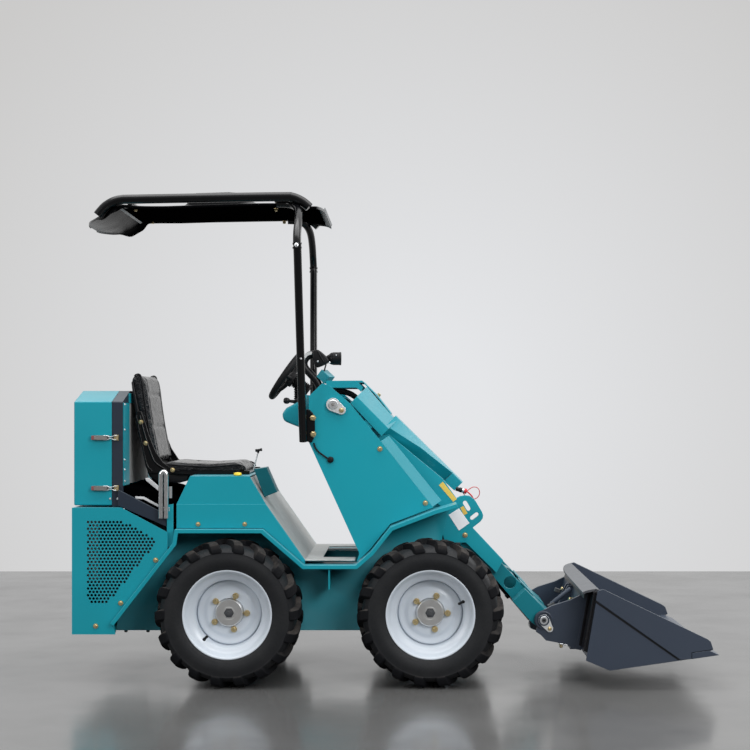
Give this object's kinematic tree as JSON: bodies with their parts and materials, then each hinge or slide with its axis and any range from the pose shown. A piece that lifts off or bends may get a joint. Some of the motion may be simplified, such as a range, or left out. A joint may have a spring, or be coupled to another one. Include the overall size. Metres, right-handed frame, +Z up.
{
  "type": "skid steer loader",
  "caption": "Compact ride-on skid steer loader with a canopy, an open seat, a central lift boom and a digging bucket",
  "frame": {"origin": "on the ground under the middle of the machine", "axes": "+X forward to the bucket, +Y to the machine's left, +Z up"},
  "size_m": [2.563, 1.092, 2.0019],
  "materials": {
    "tyres": "worn black rubber",
    "rims": "pale grey paint",
    "paint": "teal paint",
    "frame_paint": "dark grey paint",
    "black_paint": "black gloss paint",
    "floor_paint": "grey paint",
    "steel": "zinc plated steel",
    "rod_chrome": "hard chrome",
    "casting": "dark casting",
    "black_plastic": "black moulded plastic",
    "roof_plastic": "black moulded plastic",
    "seat_vinyl": "black vinyl",
    "rubber": "black rubber"
  },
  "bodies": {
    "chassis": {"wheel_motors": "casting", "chassis_tub": "paint", "fenders": "paint", "rear_side_panels": "paint", "side_grilles": "frame_paint", "rear_body_shell": "paint", "engine_block": "casting", "housing_frame": "frame_paint", "firewall": "paint", "frame_hinges": "frame_paint", "latch_keepers": "steel", "seat_base": "paint", "floor_plates": "floor_paint", "seat_frame": "black_paint", "seat_cushion": "seat_vinyl", "seat_backrest": "seat_vinyl", "control_box": "floor_paint", "exhaust_pipe": "steel", "tower_plates": "paint", "dash_panel": "paint", "steering_column": "black_plastic", "lever_console": "paint", "control_levers": "black_plastic", "lamp_neck": "black_paint", "gauge_pod": "black_plastic", "work_lamp": "black_plastic", "instrument_box": "paint", "canopy_frame": "black_paint", "canopy_roof": "roof_plastic", "post_brackets": "black_paint", "lamp_wire": "rubber", "boom_pin": "steel", "lift_pins": "steel"},
    "engine_hood": {"engine_hood": "paint", "hood_hinges": "frame_paint", "hood_latches": "steel"},
    "boom": {"boom_arms": "paint", "boom_lower_frame": "paint", "boom_cover": "paint", "boom_loop": "paint"},
    "lift_barrels": {"lift_barrels": "black_paint"},
    "lift_rods": {"lift_rods": "rod_chrome"},
    "tilt_barrel": {"tilt_barrel": "black_paint"},
    "tilt_rod": {"tilt_rod": "rod_chrome"},
    "bucket": {"coupler": "frame_paint", "bucket": "frame_paint", "cutting_edge": "frame_paint"},
    "steering_wheel": {"steering_wheel": "black_plastic"},
    "wheel_rear_right": {"tyre_rear_right": "tyres", "rim_rear_right": "rims"},
    "wheel_rear_left": {"tyre_rear_left": "tyres", "rim_rear_left": "rims"},
    "wheel_front_right": {"tyre_front_right": "tyres", "rim_front_right": "rims"},
    "wheel_front_left": {"tyre_front_left": "tyres", "rim_front_left": "rims"}
  },
  "joints": [
    {"name": "wheel_rear_right_spin", "type": "hinge", "parent": "chassis", "child": "wheel_rear_right", "pos_m": [-0.648, -0.412, 0.292], "axis": [0, 1, 0], "continuous": true},
    {"name": "wheel_rear_left_spin", "type": "hinge", "parent": "chassis", "child": "wheel_rear_left", "pos_m": [-0.648, 0.412, 0.292], "axis": [0, 1, 0], "continuous": true},
    {"name": "wheel_front_right_spin", "type": "hinge", "parent": "chassis", "child": "wheel_front_right", "pos_m": [0.152, -0.412, 0.292], "axis": [0, 1, 0], "continuous": true},
    {"name": "wheel_front_left_spin", "type": "hinge", "parent": "chassis", "child": "wheel_front_left", "pos_m": [0.152, 0.412, 0.292], "axis": [0, 1, 0], "continuous": true},
    {"name": "steering", "type": "hinge", "parent": "chassis", "child": "steering_wheel", "pos_m": [-0.4547, 0, 1.2445], "axis": [0.8243, 0, -0.5662], "continuous": true},
    {"name": "hood_open", "type": "hinge", "parent": "chassis", "child": "engine_hood", "pos_m": [-1.135, 0.37, 0.95], "axis": [0, 0, -1], "range_deg": [0, 110]},
    {"name": "boom_lift", "type": "hinge", "parent": "chassis", "child": "boom", "pos_m": [-0.2395, 0, 1.12], "axis": [0, -1, 0], "range_deg": [-2.5, 65]},
    {"name": "bucket_tilt", "type": "hinge", "parent": "boom", "child": "bucket", "pos_m": [0.6115, 0, 0.25], "axis": [0, -1, 0], "range_deg": [-105, 25]},
    {"name": "lift_barrel_swing", "type": "hinge", "parent": "chassis", "child": "lift_barrels", "pos_m": [-0.09, 0, 0.4], "axis": [0, -1, 0], "range_deg": [-1.38, 0.1]},
    {"name": "lift_rod_slide", "type": "slide", "parent": "lift_barrels", "child": "lift_rods", "axis": [0.0815, 0, 0.9967], "range_m": [-0.0117, 0.2781]},
    {"name": "tilt_barrel_swing", "type": "hinge", "parent": "boom", "child": "tilt_barrel", "pos_m": [0.326, 0, 0.52], "axis": [0, -1, 0], "range_deg": [-0.42, 1.62]},
    {"name": "tilt_rod_slide", "type": "slide", "parent": "tilt_barrel", "child": "tilt_rod", "axis": [0.6425, 0, -0.7663], "range_m": [-0.0871, 0.0215]}
  ],
  "couplings": [
    {"joint": "lift_barrel_swing", "follows": "boom_lift", "ratio": -0.0205},
    {"joint": "lift_rod_slide", "follows": "boom_lift", "m_per_rad": 0.2443},
    {"joint": "tilt_barrel_swing", "follows": "bucket_tilt", "ratio": -0.015},
    {"joint": "tilt_rod_slide", "follows": "bucket_tilt", "m_per_rad": 0.047}
  ]
}
